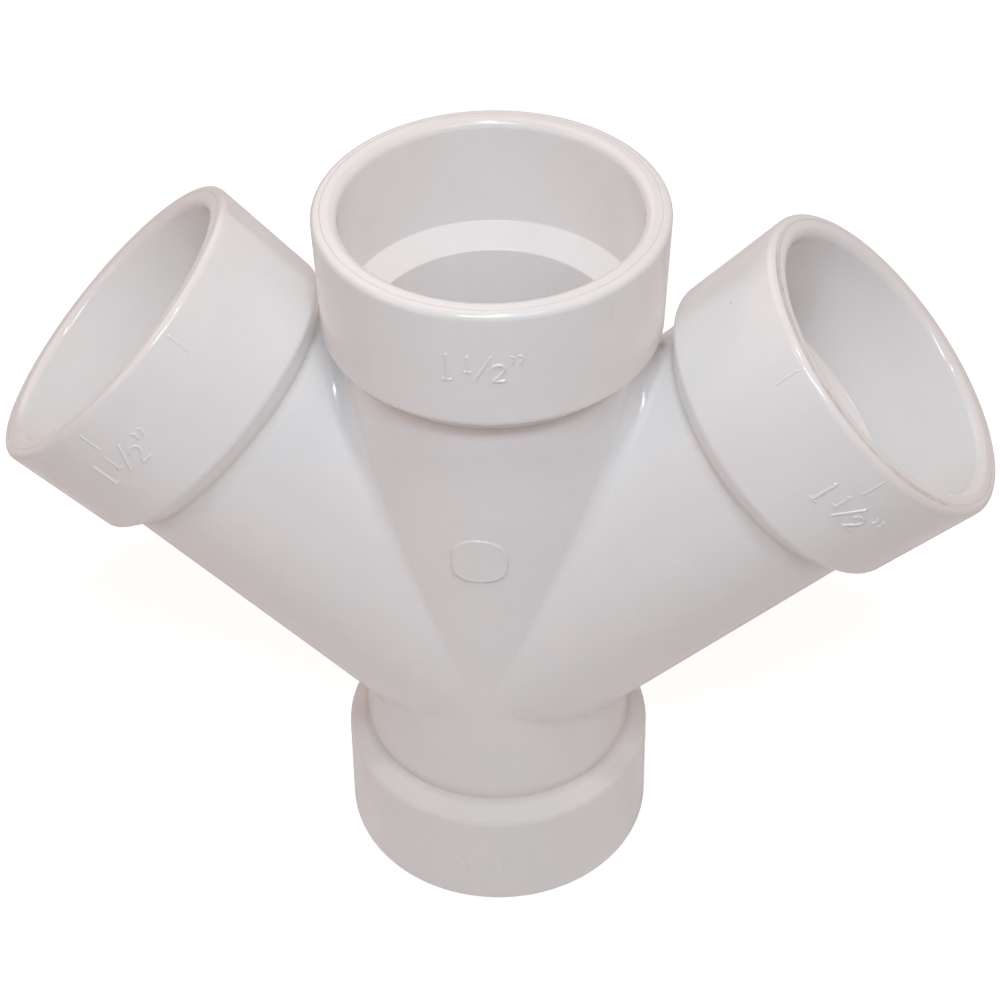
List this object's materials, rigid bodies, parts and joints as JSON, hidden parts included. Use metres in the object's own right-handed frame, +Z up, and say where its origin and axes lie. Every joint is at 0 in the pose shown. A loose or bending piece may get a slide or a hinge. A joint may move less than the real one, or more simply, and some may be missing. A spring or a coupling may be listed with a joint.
{
  "type": "double lateral wye fitting",
  "caption": "Moulded white plastic drainage fitting: a straight run with two opposite branches at 45 degrees, each end a glued socket for inch-and-a-half pipe.",
  "frame": {"origin": "centre of the bottom socket's mouth plane, on the axis of the run; the fitting stands on this rim", "axes": "+Z up along the run to the top socket; +X towards one branch and -X towards the other, both in the XZ plane; -Y is the front, which carries the raised size marks"},
  "size_m": [0.1672, 0.057, 0.1373],
  "materials": {
    "pvc_white": "moulded white PVC, glossy, with fine flow marks"
  },
  "bodies": {
    "root": {"double_wye_body": "pvc_white"}
  },
  "joints": []
}
